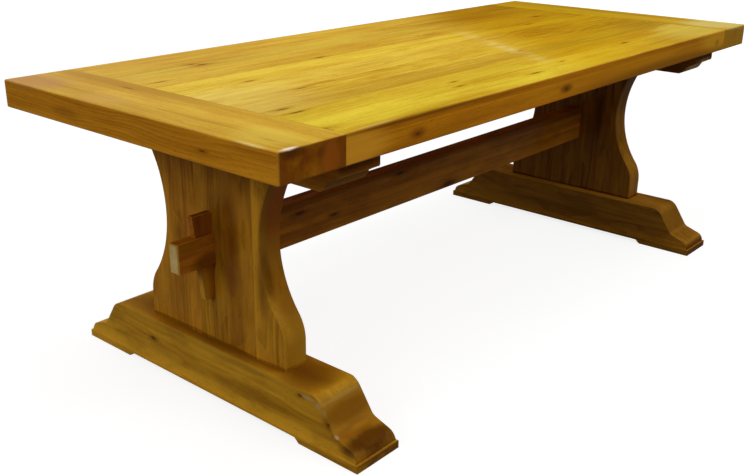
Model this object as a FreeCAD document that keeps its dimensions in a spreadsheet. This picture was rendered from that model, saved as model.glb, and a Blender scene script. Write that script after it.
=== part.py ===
import FreeCAD, Part

import math
import os
import re

import Sketcher

# A refectory table on two trestles. X runs along the table, Y across it and Z up.
# The origin is on the floor, in the middle of the table.
# A trestle is a foot, a waisted post glued up from upright staves, and a bearer under the top.
# A stretcher is tenoned right through both posts, and a loose wedge outside each post holds it tight.

# Every size of the table in millimetres: its name, its number and what it measures
sizes = [
    ("table_height", "765", "floor to the upper face of the top"),
    ("top_length", "2250", "length of the top"),
    ("top_width", "950", "width of the top"),
    ("top_thickness", "67", "thickness of every board of the top"),
    ("end_board_width", "183", "width of the board across each end"),
    ("corner_radius", "8", "rounding of the top's corners in plan"),
    ("edge_round", "4", "rounding of the top's outer arrises"),
    ("board_bevel", "0.8", "bevel beside each joint of the top"),
    ("tongue_length", "32", "tongues of the long boards into the end boards"),
    ("tongue_thickness", "20", "thickness of those tongues"),
    ("tongue_stop", "40", "tongues and groove stop this far from the long edges"),
    ("groove_spare", "2", "groove deeper than its tongue"),
    ("spline_width", "24", "loose tongue between two long boards"),
    ("spline_thickness", "10", "thickness of a loose tongue"),
    ("spline_spare", "1", "groove deeper than the loose tongue, each side"),
    ("peg_diameter", "10", "pegs through the tongues"),
    ("peg_play", "0.2", "gap round each peg"),
    ("peg_cover", "12", "wood left above each peg"),
    ("end_overhang", "256", "end of the top to the middle of the trestle"),
    ("foot_length", "1014", "length of each foot across the table"),
    ("foot_height", "143", "height of each foot"),
    ("foot_width", "143", "width of the foot at its plinth"),
    ("foot_body_width", "131", "width of the foot above its plinth"),
    ("plinth_height", "19", "plain band at the bottom of the foot"),
    ("plinth_ledge", "1.5", "flat ledge on the plinth"),
    ("cove_height", "26", "hollow moulding above the ledge"),
    ("foot_round", "4", "rounding of the foot's upper arrises"),
    ("toe_length", "152", "shaped toe at each end of the foot"),
    ("pad_length", "182", "pads that the foot stands on"),
    ("pad_relief", "12", "height of the foot's underside between its pads"),
    ("pad_slope", "14", "slope at the inner end of each pad"),
    ("bearer_length", "890", "length of each bearer across the table"),
    ("bearer_height", "72", "height of each bearer"),
    ("bearer_width", "131", "width of each bearer"),
    ("bearer_toe_length", "60", "shaped end of a bearer"),
    ("bearer_round", "3", "rounding of the bearer's lower arrises"),
    ("post_thickness", "70", "thickness of each post"),
    ("post_base_width", "500", "width of the post on its foot"),
    ("post_waist_width", "338", "width of the post at its waist"),
    ("post_top_width", "460", "width of the post under its bearer"),
    ("post_plumb_height", "62", "upright part of the post's sides above the foot"),
    ("post_round", "4", "rounding of the post's outer arrises"),
    ("post_tenon_thickness", "36", "thickness of the tenons at both ends of the post"),
    ("foot_tenon_length", "58", "tenon of the post into the foot"),
    ("bearer_tenon_length", "44", "tenon of the post into the bearer"),
    ("tenon_spare", "2", "mortise deeper than its tenon"),
    ("stretcher_height", "112", "height of the stretcher"),
    ("stretcher_thickness", "55", "thickness of the stretcher"),
    ("stretcher_bottom", "333", "underside of the stretcher above the floor"),
    ("stretcher_round", "4", "rounding of the stretcher's arrises"),
    ("tusk_height", "75", "height of the tenon that passes through the post"),
    ("tusk_thickness", "33", "thickness of that tenon"),
    ("tusk_rise", "23", "underside of that tenon above the stretcher's"),
    ("tusk_projection", "111", "tenon outside the post"),
    ("tusk_chamfer", "3", "chamfer round the end of the tenon"),
    ("wedge_length", "222", "length of each loose wedge"),
    ("wedge_top_width", "58", "width of the wedge at its upper end"),
    ("wedge_taper", "28", "how much narrower its lower end is"),
    ("wedge_thickness", "16", "thickness of the wedge"),
    ("wedge_drop", "92", "lower end of the wedge below the tenon"),
    ("wedge_play", "0.3", "gap on each side of the wedge in its slot"),
    ("wedge_relief", "4", "slot reaching inside the post's outer face"),
    ("wedge_chamfer", "2", "chamfer at both ends of the wedge"),
    ("screw_diameter", "8", "shank of the coach screws"),
    ("screw_head_diameter", "16", "head of the coach screws"),
    ("screw_head_height", "6", "height of the head"),
    ("screw_play", "0.3", "gap round a shank in its hole"),
    ("screw_grip", "38", "screw inside the piece that it holds"),
    ("screw_offset", "48", "top screws beside the middle of the bearer"),
    ("counterbore_diameter", "21", "counterbore for a screw's head"),
    ("counterbore_depth", "20", "depth of the counterbore"),
    ("overrun", "10", "how far a cut runs past the surface that it enters"),
]

# Edges of the long boards from the back to the front, as shares of the top's width
board_edge_shares = [0.5, 0.353, 0.247, 0.135, 0.026, -0.097, -0.19, -0.282, -0.363, -0.5]
# Pegs along each end board, as shares of the top's width
peg_shares = [-0.31, 0, 0.31]
# Joints between the staves of a post, as shares of its waist
stave_joint_shares = [-0.444, -0.148, 0.148, 0.444]
# Height of the waist, as a share of the post's height between foot and bearer
waist_share = 0.615
# Below the waist a hollow meets a rounded shoulder: the shoulder's share of their two radii
shoulder_share = 0.267
# Long boards that are screwed to the bearers, counted from the back
screwed_boards = [2, 3, 7, 8]

# Shaped toe of the foot, from its top down to its nose, as shares of the toe's length and of the
# foot's height. Where an arc leads to the next point, its radius follows as a share of the height.
toe_shares = [
    (1, 1), ("proud", 0.323), (0.75, 0.857), (0.507, 0.476), ("hollow", 0.185), (0.414, 0.406),
    (0.151, 0.315), ("proud", 0.167), (0.046, 0.154),
]
# Shaped end of the bearer, from its underside up to its end face, in the same way
bearer_toe_shares = [
    (1, 1), ("proud", 0.367), (0.62, 0.82), (0.5, 0.66), (0.12, 0.5), ("proud", 0.122), (0, 0.42),
]

doc = FreeCAD.newDocument("refectory_table")
sheet = doc.addObject("Spreadsheet::Sheet", "Sizes")
for row, (name, number, note) in enumerate(sizes, start=1):
    sheet.set(f"A{row}", note)
    sheet.set(f"B{row}", number)
    sheet.setAlias(f"B{row}", name)
doc.recompute()
names = {name for name, number, note in sizes}


# Formulas below use the bare names of the sizes
def formula(text):
    def fullName(found):
        word = found.group()
        return f"Sizes.{word}" if word in names else word
    return re.sub(r"[a-z_]+", fullName, text)


def value(text):
    return float(sheet.evalExpression(formula(text)))


def bind(thing, path, text):
    thing.setExpression(path, formula(text))


# Levels and places that several pieces share
under_top = "(table_height - top_thickness)"
top_middle = "(table_height - top_thickness / 2)"
board_length = "(top_length - 2 * end_board_width)"
trestle_x = "(top_length / 2 - end_overhang)"
post_face = f"({trestle_x} + post_thickness / 2)"
bearer_bottom = f"({under_top} - bearer_height)"
tusk_bottom = "(stretcher_bottom + tusk_rise)"
tusk_top = f"({tusk_bottom} + tusk_height)"
tusk_end = f"({post_face} + tusk_projection)"
wedge_bottom = f"({tusk_bottom} - wedge_drop)"
wedge_top = f"({wedge_bottom} + wedge_length)"
peg_x = f"({board_length} / 2 + tongue_length / 2)"
peg_height = "(top_thickness - peg_cover)"
peg_hole = "(peg_diameter + 2 * peg_play)"
screw_hole = "(screw_diameter + 2 * screw_play)"
board_edges = [f"({share} * top_width)" for share in board_edge_shares]
stave_joints = [f"({share} * post_waist_width)" for share in stave_joint_shares]


def middleOf(first, second):
    return f"(({first} + {second}) / 2)"


# Each screwed board has one screw to a bearer, on alternate sides of the bearer's middle
top_screws = []
for count, board in enumerate(screwed_boards):
    side = "-" if count % 2 else ""
    top_screws.append((board, f"({side}screw_offset)", middleOf(board_edges[board - 1], board_edges[board])))
# The staves beside the middle one have a screw up through the foot
foot_screws = [middleOf(*stave_joints[:2]), middleOf(*stave_joints[-2:])]

pieces = []


def newBody(label):
    body = doc.addObject("PartDesign::Body", label)
    body.Label = label
    pieces.append(body)
    return body


def newSketch(body, role, level="0"):
    plane = [item for item in body.Origin.OriginFeatures if item.Role == role][0]
    sketch = body.newObject("Sketcher::SketchObject", body.Label + "_sketch")
    sketch.AttachmentSupport = (plane, "")
    sketch.MapMode = "FlatFace"
    bind(sketch, "AttachmentOffset.Base.z", level)
    return sketch


# The smaller arc between two points, anticlockwise from the first to the second
def arcBetween(first, second, radius):
    chord = second - first
    across = FreeCAD.Vector(-chord.y, chord.x, 0)
    across.normalize()
    centre = (first + second) / 2 + across * math.sqrt(radius ** 2 - (chord.Length / 2) ** 2)
    start, end = [math.atan2(spot.y - centre.y, spot.x - centre.x) for spot in (first, second)]
    circle = Part.Circle(centre, FreeCAD.Vector(0, 0, 1), radius)
    return Part.ArcOfCircle(circle, start, end if end > start else end + 2 * math.pi)


def constrain(sketch, kind, *place, text):
    number = sketch.addConstraint(Sketcher.Constraint(kind, *place, value(text)))
    bind(sketch, f"Constraints[{number}]", text)


# A closed outline through points (across, up). Between two points, ("out", radius) or ("in", radius)
# makes an arc that bulges out of the outline or into it.
def outline(sketch, walk):
    corners = []
    arcs = {}
    for item in walk:
        if item[0] in ("out", "in"):
            arcs[len(corners) - 1] = item
        else:
            corners.append(item)
    spots = [FreeCAD.Vector(value(across), value(up), 0) for across, up in corners]
    ends = spots[1:] + spots[:1]
    anticlockwise = sum(start.x * end.y - end.x * start.y for start, end in zip(spots, ends)) > 0
    edges = []
    for index, (start, end) in enumerate(zip(spots, ends)):
        if index not in arcs:
            edges.append((sketch.addGeometry(Part.LineSegment(start, end), False), 1, 2))
            continue
        bulge, radius = arcs[index]
        if (bulge == "out") == anticlockwise:
            edges.append((sketch.addGeometry(arcBetween(start, end, value(radius)), False), 1, 2))
        else:
            edges.append((sketch.addGeometry(arcBetween(end, start, value(radius)), False), 2, 1))
        constrain(sketch, "Radius", edges[-1][0], text=radius)
    for index, (across, up) in enumerate(corners):
        edge, start, end = edges[index]
        following = edges[(index + 1) % len(edges)]
        sketch.addConstraint(Sketcher.Constraint("Coincident", edge, end, following[0], following[1]))
        constrain(sketch, "DistanceX", -1, 1, edge, start, text=across)
        constrain(sketch, "DistanceY", -1, 1, edge, start, text=up)


def rectangle(sketch, left, bottom, right, top):
    outline(sketch, [(left, bottom), (right, bottom), (right, top), (left, top)])


def circle(sketch, across, up, diameter):
    centre = FreeCAD.Vector(value(across), value(up), 0)
    shape = Part.Circle(centre, FreeCAD.Vector(0, 0, 1), value(diameter) / 2)
    edge = sketch.addGeometry(shape, False)
    constrain(sketch, "DistanceX", -1, 1, edge, 3, text=across)
    constrain(sketch, "DistanceY", -1, 1, edge, 3, text=up)
    constrain(sketch, "Diameter", edge, text=diameter)


# Half of the length lies on each side of the sketch
def pad(body, sketch, length):
    feature = body.newObject("PartDesign::Pad", body.Label + "_pad")
    feature.Profile = sketch
    feature.SideType = "Symmetric"
    bind(feature, "Length", length)


# A cut of the given depth on both sides of the sketch
def cut(body, sketch, depth):
    doc.recompute()
    before = body.Shape.Volume
    feature = body.newObject("PartDesign::Pocket", body.Label + "_cut")
    feature.Profile = sketch
    feature.SideType = "Symmetric"
    bind(feature, "Length", f"2 * {depth}")
    doc.recompute()
    if not body.Shape.Volume < before:
        raise RuntimeError(f"{body.Label}: a cut took nothing away")


# Rounds or bevels the edges whose middle passes a test
def dress(body, kind, size, test):
    doc.recompute()
    edges = enumerate(body.Shape.Edges, start=1)
    found = [f"Edge{number}" for number, edge in edges if test(edge.CenterOfMass)]
    previous = body.Tip
    feature = body.newObject("PartDesign::" + kind, body.Label + "_" + kind.lower())
    feature.Base = (previous, found)
    bind(feature, "Radius" if kind == "Fillet" else "Size", size)


def isAt(number, text):
    return math.isclose(number, value(text), abs_tol=value("table_height") / 1e6)


# The piece at +X is the piece at -X turned end for end
def turnForSide(piece, side):
    if side == "right":
        piece.Placement = FreeCAD.Placement(FreeCAD.Vector(), FreeCAD.Rotation(FreeCAD.Vector(0, 0, 1), 180))


# One edge of a long board, walked upwards: rounded on the outside of the top, else grooved
def boardEdge(edge, inwards, outermost):
    if outermost:
        inset = f"{edge} {inwards} edge_round"
        return [(inset, under_top), ("out", "edge_round"), (edge, f"{under_top} + edge_round"),
                (edge, "table_height - edge_round"), ("out", "edge_round"), (inset, "table_height")]
    groove = f"{edge} {inwards} (spline_width / 2 + spline_spare)"
    low, high = f"{top_middle} - spline_thickness / 2", f"{top_middle} + spline_thickness / 2"
    return [(edge, under_top), (edge, low), (groove, low), (groove, high), (edge, high),
            (edge, "table_height - board_bevel"), (f"{edge} {inwards} board_bevel", "table_height")]


def makeLongBoard(number):
    board = newBody(f"top_board_{number}")
    backmost, foremost = number == 1, number == len(board_edges) - 1
    section = newSketch(board, "YZ_Plane")
    back = boardEdge(board_edges[number - 1], "-", backmost)
    front = boardEdge(board_edges[number], "+", foremost)
    outline(section, back + front[::-1])
    pad(board, section, f"{board_length} + 2 * tongue_length")
    shoulders = newSketch(board, "XZ_Plane")
    for end in ("-", ""):
        root, tip = f"{end}{board_length} / 2", f"{end}({board_length} / 2 + tongue_length + overrun)"
        rectangle(shoulders, root, f"{top_middle} + tongue_thickness / 2", tip, "table_height + overrun")
        rectangle(shoulders, root, f"{top_middle} - tongue_thickness / 2", tip, f"{under_top} - overrun")
    cut(board, shoulders, "top_width")
    if backmost or foremost:
        stops = newSketch(board, "XY_Plane")
        edge = "" if backmost else "-"
        stop, beyond = f"{edge}(top_width / 2 - tongue_stop)", f"{edge}(top_width / 2 + overrun)"
        for end in ("-", ""):
            root, tip = f"{end}{board_length} / 2", f"{end}({board_length} / 2 + tongue_length + overrun)"
            rectangle(stops, root, stop, tip, beyond)
        cut(board, stops, "table_height")
    for share in peg_shares:
        if board_edge_shares[number - 1] > share > board_edge_shares[number]:
            holes = newSketch(board, "XY_Plane")
            for end in ("-", ""):
                circle(holes, f"{end}{peg_x}", f"{share} * top_width", peg_hole)
            cut(board, holes, "table_height")
    for screwed, offset, across in top_screws:
        if screwed == number:
            holes = newSketch(board, "XY_Plane", under_top)
            for end in ("-", ""):
                circle(holes, f"{end}{trestle_x} + {offset}", across, screw_hole)
            cut(board, holes, "screw_grip")


# The board across an end of the top, with a stopped groove for the tongues
def makeEndBoard(side):
    board = newBody("end_board_" + side)
    outer, inner = "-top_length / 2", f"-{board_length} / 2"
    plan = newSketch(board, "XY_Plane", top_middle)
    outline(plan, [
        (inner, "-top_width / 2"), (inner, "top_width / 2"),
        (f"{outer} + corner_radius", "top_width / 2"), ("out", "corner_radius"),
        (outer, "top_width / 2 - corner_radius"), (outer, "-(top_width / 2 - corner_radius)"),
        ("out", "corner_radius"), (f"{outer} + corner_radius", "-top_width / 2"),
    ])
    pad(board, plan, "top_thickness")
    dress(board, "Fillet", "edge_round", lambda middle: (
        not isAt(middle.x, inner) and (isAt(middle.z, "table_height") or isAt(middle.z, under_top))))
    dress(board, "Chamfer", "board_bevel", lambda middle: (
        isAt(middle.x, inner) and isAt(middle.z, "table_height")))
    groove = newSketch(board, "XZ_Plane")
    rectangle(groove, f"{inner} - tongue_length - groove_spare", f"{top_middle} - tongue_thickness / 2",
              f"{inner} + overrun", f"{top_middle} + tongue_thickness / 2")
    cut(board, groove, "(top_width / 2 - tongue_stop)")
    holes = newSketch(board, "XY_Plane", under_top)
    for share in peg_shares:
        circle(holes, f"-{peg_x}", f"{share} * top_width", peg_hole)
    cut(board, holes, peg_height)
    turnForSide(board, side)


# Waste outside the shaped end of a foot or bearer, whose toe narrows to a nose from its wide side.
# Heights run up from the floor for a foot and down from the top for a bearer.
def toeWaste(end, reach, toe, base, way, height, shares, nose):
    walk = []
    for along, up in shares:
        if along == "proud":
            walk.append(("in", f"{up} * {height}"))
        elif along == "hollow":
            walk.append(("out", f"{up} * {height}"))
        else:
            walk.append((f"{end}({reach} - {along} * {toe})", f"{base} {way} {up} * {height}"))
    beyond = f"{end}({reach} + overrun)"
    past = f"{base} {way} ({height} + overrun)"
    return walk + nose + [(beyond, nose[-1][1] if nose else walk[-1][1]), (beyond, past), (walk[0][0], past)]


# The screws pass up through the piece, with their heads in counterbores from below
def boreForScrews(body, level, height, places):
    for diameter, depth in (("counterbore_diameter", "counterbore_depth"), (screw_hole, height)):
        holes = newSketch(body, "XY_Plane", level)
        for along, across in places:
            circle(holes, along, across, diameter)
        cut(body, holes, depth)


# The mortise that takes the tenons of the three middle staves
def mortiseForPost(body, level, depth):
    mortise = newSketch(body, "XY_Plane", level)
    half = "post_tenon_thickness / 2"
    rectangle(mortise, f"-{half}", stave_joints[0], half, stave_joints[-1])
    cut(body, mortise, f"({depth} + tenon_spare)")


# The foot stands on a pad at each end. It has a plinth and a cove along both sides.
def makeFoot(side):
    foot = newBody("foot_" + side)
    cove_depth = "(foot_width / 2 - plinth_ledge - foot_body_width / 2)"
    cove_radius = f"((cove_height ^ 2 + {cove_depth} ^ 2) / (2 * {cove_depth}))"
    section = newSketch(foot, "XZ_Plane")
    flank = [
        ("foot_width / 2", "0"), ("foot_width / 2", "plinth_height"),
        ("(foot_width / 2 - plinth_ledge)", "plinth_height"), ("in", cove_radius),
        ("foot_body_width / 2", "plinth_height + cove_height"),
        ("foot_body_width / 2", "foot_height - foot_round"), ("out", "foot_round"),
        ("(foot_body_width / 2 - foot_round)", "foot_height"),
    ]
    other_flank = [item if item[0] in ("out", "in") else ("-" + item[0], item[1]) for item in flank[::-1]]
    outline(section, flank + other_flank)
    pad(foot, section, "foot_length")
    shaping = newSketch(foot, "YZ_Plane")
    nose = f"foot_length / 2 - {toe_shares[-1][0]} * toe_length"
    for end in ("-", ""):
        outline(shaping, toeWaste(end, "foot_length / 2", "toe_length", "0", "+", "foot_height",
                                  toe_shares, [(f"{end}({nose})", "plinth_height")]))
    inner = "(foot_length / 2 - pad_length)"
    outline(shaping, [
        (f"-{inner}", "-overrun"), (inner, "-overrun"), (inner, "0"), (f"{inner} - pad_slope", "pad_relief"),
        (f"-({inner} - pad_slope)", "pad_relief"), (f"-{inner}", "0")])
    cut(foot, shaping, "foot_width")
    mortiseForPost(foot, "foot_height", "foot_tenon_length")
    boreForScrews(foot, "pad_relief", "(foot_height - foot_tenon_length - pad_relief)",
                  [("0", across) for across in foot_screws])
    return foot


# The bearer carries the top. It is square above, with shaped ends and rounded arrises below.
def makeBearer(side):
    bearer = newBody("bearer_" + side)
    section = newSketch(bearer, "XZ_Plane")
    outline(section, [
        ("bearer_width / 2", under_top), ("-bearer_width / 2", under_top),
        ("-bearer_width / 2", f"{bearer_bottom} + bearer_round"), ("out", "bearer_round"),
        ("-(bearer_width / 2 - bearer_round)", bearer_bottom),
        ("(bearer_width / 2 - bearer_round)", bearer_bottom), ("out", "bearer_round"),
        ("bearer_width / 2", f"{bearer_bottom} + bearer_round"),
    ])
    pad(bearer, section, "bearer_length")
    shaping = newSketch(bearer, "YZ_Plane")
    for end in ("-", ""):
        outline(shaping, toeWaste(end, "bearer_length / 2", "bearer_toe_length", under_top, "-",
                                  "bearer_height", bearer_toe_shares, []))
    cut(bearer, shaping, "bearer_width")
    mortiseForPost(bearer, bearer_bottom, "bearer_tenon_length")
    boreForScrews(bearer, bearer_bottom, "bearer_height",
                  [(offset, across) for board, offset, across in top_screws])
    return bearer


# The outermost staves carry the post's waisted outline
def makeOuterStave(stave, end, joint):
    waist_level = f"(foot_height + {waist_share} * ({bearer_bottom} - foot_height))"
    plumb_top = "(foot_height + post_plumb_height)"
    fall = f"({waist_level} - {plumb_top})"
    narrowing = "((post_base_width - post_waist_width) / 2)"
    radii = f"(({fall} ^ 2 + {narrowing} ^ 2) / (2 * {narrowing}))"
    meeting = (f"{end}(post_base_width / 2 - {shoulder_share} * {narrowing})",
               f"{plumb_top} + {shoulder_share} * {fall}")
    rise = f"({bearer_bottom} - {waist_level})"
    flare = "((post_top_width - post_waist_width) / 2)"
    blank = newSketch(stave, "YZ_Plane")
    outline(blank, [
        (joint, "foot_height"), (f"{end}post_base_width / 2", "foot_height"),
        (f"{end}post_base_width / 2", plumb_top), ("out", f"{shoulder_share} * {radii}"),
        meeting, ("in", f"(1 - {shoulder_share}) * {radii}"), (f"{end}post_waist_width / 2", waist_level),
        ("in", f"({rise} ^ 2 + {flare} ^ 2) / (2 * {flare})"), (f"{end}post_top_width / 2", bearer_bottom),
        (joint, bearer_bottom),
    ])
    pad(stave, blank, "post_thickness")
    dress(stave, "Fillet", "post_round", lambda middle: (
        isAt(abs(middle.x), "post_thickness / 2") and abs(middle.y) > value("post_waist_width / 2")
        and not isAt(middle.z, "foot_height") and not isAt(middle.z, bearer_bottom)))


# The inner staves are tenoned into the foot and the bearer. The middle one has the mortise for the
# stretcher's tenon, and its neighbours have a hole for a screw from below.
def makeInnerStave(stave, low, high):
    blank = newSketch(stave, "YZ_Plane")
    rectangle(blank, low, "foot_height", high, bearer_bottom)
    pad(stave, blank, "post_thickness")
    tenons = newSketch(stave, "YZ_Plane")
    tenon_foot = "foot_height - foot_tenon_length"
    rectangle(tenons, low, tenon_foot, high, f"{bearer_bottom} + bearer_tenon_length")
    pad(stave, tenons, "post_tenon_thickness")
    across = middleOf(low, high)
    if across in foot_screws:
        hole = newSketch(stave, "XY_Plane", tenon_foot)
        circle(hole, "0", across, screw_hole)
        cut(stave, hole, "screw_grip")
    else:
        mortise = newSketch(stave, "YZ_Plane")
        rectangle(mortise, "-tusk_thickness / 2", tusk_bottom, "tusk_thickness / 2", tusk_top)
        cut(stave, mortise, "post_thickness")


def makePost(side):
    staves = [newBody(f"post_stave_{side}_{number}") for number in range(1, len(stave_joints) + 2)]
    makeOuterStave(staves[0], "-", stave_joints[0])
    makeOuterStave(staves[-1], "", stave_joints[-1])
    for stave, low, high in zip(staves[1:-1], stave_joints, stave_joints[1:]):
        makeInnerStave(stave, low, high)
    return staves


# How far the wedge's outer face stands from the post at a given height
def wedgeWidth(height):
    return f"(wedge_top_width - wedge_taper * ({wedge_top} - ({height})) / wedge_length)"


# The stretcher has a long tenon at each end, with a tapered slot for the wedge
def makeStretcher():
    stretcher = newBody("stretcher")
    section = newSketch(stretcher, "YZ_Plane")
    top = "(stretcher_bottom + stretcher_height)"
    flank = [
        ("(stretcher_thickness / 2 - stretcher_round)", "stretcher_bottom"), ("out", "stretcher_round"),
        ("stretcher_thickness / 2", "stretcher_bottom + stretcher_round"),
        ("stretcher_thickness / 2", f"{top} - stretcher_round"), ("out", "stretcher_round"),
        ("(stretcher_thickness / 2 - stretcher_round)", top),
    ]
    other_flank = [item if item[0] in ("out", "in") else ("-" + item[0], item[1]) for item in flank[::-1]]
    outline(section, flank + other_flank)
    pad(stretcher, section, f"2 * ({post_face} - post_thickness)")
    tusk = newSketch(stretcher, "YZ_Plane")
    rectangle(tusk, "-tusk_thickness / 2", tusk_bottom, "tusk_thickness / 2", tusk_top)
    pad(stretcher, tusk, f"2 * {tusk_end}")
    dress(stretcher, "Chamfer", "tusk_chamfer", lambda middle: isAt(abs(middle.x), tusk_end))
    slots = newSketch(stretcher, "XZ_Plane")
    low, high = f"{tusk_bottom} - overrun", f"{tusk_top} + overrun"
    for end in ("-", ""):
        inner = f"{end}({post_face} - wedge_relief)"
        outline(slots, [(inner, low), (inner, high), (f"{end}({post_face} + {wedgeWidth(high)})", high),
                        (f"{end}({post_face} + {wedgeWidth(low)})", low)])
    cut(stretcher, slots, "(wedge_thickness / 2 + wedge_play)")


# The wedge lies flat against the post, and its outer face is tapered
def makeWedge(side):
    wedge = newBody("wedge_" + side)
    taper = newSketch(wedge, "XZ_Plane")
    outline(taper, [
        (f"-{post_face}", wedge_top), (f"-({post_face} + wedge_top_width)", wedge_top),
        (f"-({post_face} + {wedgeWidth(wedge_bottom)})", wedge_bottom), (f"-{post_face}", wedge_bottom)])
    pad(wedge, taper, "wedge_thickness")
    dress(wedge, "Chamfer", "wedge_chamfer", lambda middle: (
        isAt(middle.z, wedge_top) or isAt(middle.z, wedge_bottom)))
    turnForSide(wedge, side)


# Pieces of one kind that share a node, as separate solids
def group(label, solids):
    compound = doc.addObject("Part::Compound", label)
    compound.Label = label
    compound.Links = solids
    pieces.append(compound)


def block(length, width, height, x, y, z):
    box = doc.addObject("Part::Box", "block")
    for path, text in (("Length", length), ("Width", width), ("Height", height),
                       ("Placement.Base.x", x), ("Placement.Base.y", y), ("Placement.Base.z", z)):
        bind(box, path, text)
    return box


def rod(diameter, height, x, y, z):
    cylinder = doc.addObject("Part::Cylinder", "rod")
    for path, text in (("Radius", f"{diameter} / 2"), ("Height", height),
                       ("Placement.Base.x", x), ("Placement.Base.y", y), ("Placement.Base.z", z)):
        bind(cylinder, path, text)
    return cylinder


# A coach screw driven upwards, whose head is seated against the level given
def screw(x, y, seat, length):
    head_bottom = f"{seat} - screw_head_height"
    whole = doc.addObject("Part::Fuse", "screw")
    whole.Base = rod("screw_head_diameter", "screw_head_height", x, y, head_bottom)
    whole.Tool = rod("screw_diameter", f"screw_head_height + {length}", x, y, head_bottom)
    return whole


def makeTrestle(side, end):
    for piece in [makeFoot(side), makeBearer(side)] + makePost(side):
        bind(piece, "Placement.Base.x", f"{end}{trestle_x}")
    through_bearer = "(bearer_height - counterbore_depth + screw_grip)"
    group("top_screws_" + side, [
        screw(f"{end}{trestle_x} + {offset}", across, f"{bearer_bottom} + counterbore_depth", through_bearer)
        for board, offset, across in top_screws])
    through_foot = "(foot_height - foot_tenon_length - pad_relief - counterbore_depth + screw_grip)"
    group("foot_screws_" + side, [
        screw(f"{end}{trestle_x}", across, "pad_relief + counterbore_depth", through_foot)
        for across in foot_screws])


for number in range(1, len(board_edges)):
    makeLongBoard(number)
group("board_splines", [
    block(board_length, "spline_width", "spline_thickness", f"-{board_length} / 2",
          f"{edge} - spline_width / 2", f"{top_middle} - spline_thickness / 2")
    for edge in board_edges[1:-1]])
makeStretcher()
for side, end in (("left", "-"), ("right", "")):
    makeEndBoard(side)
    group("end_board_pegs_" + side, [
        rod("peg_diameter", peg_height, f"{end}{peg_x}", f"{share} * top_width", under_top)
        for share in peg_shares])
    makeTrestle(side, end)
    makeWedge(side)

doc.recompute()
for thing in doc.Objects:
    if {"Invalid", "Error"} & set(thing.State):
        raise RuntimeError(f"{thing.Label}: {thing.State}")
for piece in pieces:
    if piece.Shape.isNull() or not piece.Shape.isValid():
        raise RuntimeError(f"{piece.Label}: its shape is not sound")
os.makedirs("parts", exist_ok=True)
for piece in pieces:
    piece.Shape.exportStep(f"parts/{piece.Label}.step")
    print(f"{piece.Label}: {len(piece.Shape.Solids)} solids, {piece.Shape.Volume / 1e3:.0f} cm3")
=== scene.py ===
import math

import bpy
from mathutils import Matrix, Vector


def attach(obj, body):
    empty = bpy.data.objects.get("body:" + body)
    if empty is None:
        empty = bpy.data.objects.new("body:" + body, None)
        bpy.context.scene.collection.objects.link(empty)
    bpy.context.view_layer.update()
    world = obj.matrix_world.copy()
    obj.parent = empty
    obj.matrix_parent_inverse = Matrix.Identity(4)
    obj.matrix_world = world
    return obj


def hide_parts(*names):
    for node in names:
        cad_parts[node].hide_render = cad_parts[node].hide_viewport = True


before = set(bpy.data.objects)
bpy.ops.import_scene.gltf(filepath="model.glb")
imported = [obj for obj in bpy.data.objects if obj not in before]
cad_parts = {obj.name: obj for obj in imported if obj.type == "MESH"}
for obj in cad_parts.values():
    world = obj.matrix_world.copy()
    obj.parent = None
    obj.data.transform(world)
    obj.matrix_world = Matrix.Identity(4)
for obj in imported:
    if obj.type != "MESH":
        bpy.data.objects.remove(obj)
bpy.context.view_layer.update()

mm = 0.001
white = (1, 1, 1, 1)

# Settings that many nodes share. A mix of colours takes its amount at input 0 and the two colours
# at 6 and 7, and gives the mixed colour at output 2.
smooth = {"interpolation_type": "SMOOTHSTEP"}
colourMix = {"data_type": "RGBA"}


# A colour as a screen shows it, turned to the amounts of light that the shaders work with
def toLinear(hexColour):
    channels = [int(hexColour[place:place + 2], 16) / 255 for place in (1, 3, 5)]
    linear = [value / 12.92 if value <= 0.04045 else ((value + 0.055) / 1.055) ** 2.4 for value in channels]
    return (*linear, 1.0)


# One node with its settings; an input takes a number, a colour, a socket, or a node's first output
def addNode(tree, kind, settings=None, inputs=None):
    node = tree.nodes.new(kind)
    for name, value in (settings or {}).items():
        setattr(node, name, value)
    for name, value in (inputs or {}).items():
        if isinstance(value, bpy.types.Node):
            value = value.outputs[0]
        if isinstance(value, bpy.types.NodeSocket):
            tree.links.new(value, node.inputs[name])
        else:
            node.inputs[name].default_value = value
    return node


def newMaterial(name):
    material = bpy.data.materials.new(name)
    material.use_nodes = True
    material.node_tree.nodes.clear()
    return material


def addThing(name, data):
    thing = bpy.data.objects.new(name, data)
    bpy.context.scene.collection.objects.link(thing)
    return thing


# Gives one piece of the table a material of its own
def dress(name, material):
    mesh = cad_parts[name].data
    mesh.materials.clear()
    mesh.materials.append(material)


# The camera stands at the near left corner of the table, a little above a sitting person's head
camera = {
    "place": (-2.250, -1.665, 1.224),
    "turn": 49.38,          # degrees to the right of +Y
    "dip": 20.87,           # degrees below level
    "roll": 0.65,
    "focalPixels": 941,
    "framePixels": 744,
    "sensor": 36,           # mm wide
}


def makeCamera():
    data = bpy.data.cameras.new("camera")
    data.sensor_fit = "HORIZONTAL"
    data.sensor_width = camera["sensor"]
    data.lens = camera["sensor"] * camera["focalPixels"] / camera["framePixels"]
    thing = addThing("camera", data)
    turn = Matrix.Rotation(-math.radians(camera["turn"]), 4, "Z")
    tilt = Matrix.Rotation(math.radians(90 - camera["dip"]), 4, "X")
    roll = Matrix.Rotation(math.radians(camera["roll"]), 4, "Z")
    thing.matrix_world = Matrix.Translation(camera["place"]) @ turn @ tilt @ roll
    bpy.context.scene.camera = thing


makeCamera()
print("camera: set")


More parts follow.
